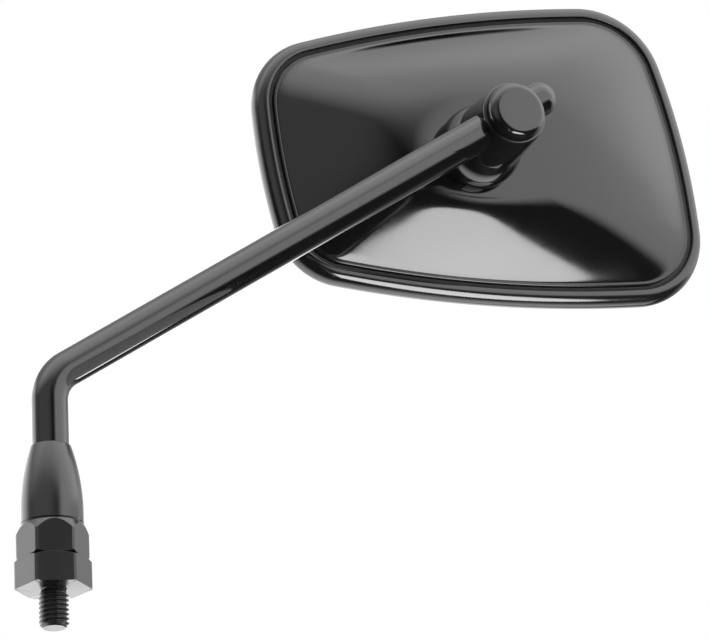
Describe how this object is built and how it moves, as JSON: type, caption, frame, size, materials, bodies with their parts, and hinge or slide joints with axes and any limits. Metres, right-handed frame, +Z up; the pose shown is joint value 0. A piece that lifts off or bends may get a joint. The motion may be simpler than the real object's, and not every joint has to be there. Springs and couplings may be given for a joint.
{
  "type": "motorcycle mirror",
  "caption": "Handlebar mirror with a rounded, slanted head on a bent rod, a ball joint behind the head and a threaded stud with a bullet-shaped lock nut at the foot",
  "frame": {"origin": "centre of the adapter's seat face, on the stud's axis", "axes": "+Z up along the lower stem, +X the side that the arm leans to, +Y the way the glass faces"},
  "size_m": [0.2235, 0.0557, 0.2125],
  "materials": {
    "satin_black_steel": "black coating over turned steel, satin",
    "gloss_black_steel": "gloss black coating",
    "zinc_steel": "bright zinc plating",
    "joint_plastic": "black acetal, natural sheen",
    "soft_rubber": "matt black",
    "gloss_black_plastic": "gloss black",
    "satin_black_plastic": "black, softer gloss",
    "mirror_glass": "silvered glass, plain"
  },
  "bodies": {
    "mount": {"adapter": "satin_black_steel", "lock_nut": "satin_black_steel"},
    "stem": {"stem_rod": "gloss_black_steel", "knuckle_body": "gloss_black_steel", "knuckle_washer": "zinc_steel", "knuckle_nut": "zinc_steel", "knuckle_cap": "gloss_black_steel", "ball_stud": "zinc_steel"},
    "seat": {"ball_seat": "joint_plastic"},
    "cup": {"pressure_cup": "joint_plastic"},
    "head": {"ball_housing": "gloss_black_steel", "joint_spring": "zinc_steel", "retainer_plate": "zinc_steel", "retainer_screws": "zinc_steel", "boss_gasket": "soft_rubber", "shell": "gloss_black_plastic", "rim_gasket": "soft_rubber", "bezel": "satin_black_plastic", "glass_pad": "soft_rubber", "glass": "mirror_glass"}
  },
  "joints": [
    {"name": "stem_turn", "type": "hinge", "parent": "mount", "child": "stem", "pos_m": [0, 0, 0.012], "axis": [0, 0, 1], "range_deg": [-180, 180]},
    {"name": "head_roll", "type": "hinge", "parent": "stem", "child": "seat", "pos_m": [0.13535, 0.0191, 0.14482], "axis": [0, 1, 0], "range_deg": [-180, 180]},
    {"name": "head_tilt", "type": "hinge", "parent": "seat", "child": "cup", "pos_m": [0.13535, 0.0191, 0.14482], "axis": [1, 0, 0], "range_deg": [-15, 15]},
    {"name": "head_pan", "type": "hinge", "parent": "cup", "child": "head", "pos_m": [0.13535, 0.0191, 0.14482], "axis": [0, 0, 1], "range_deg": [-15, 15]}
  ]
}
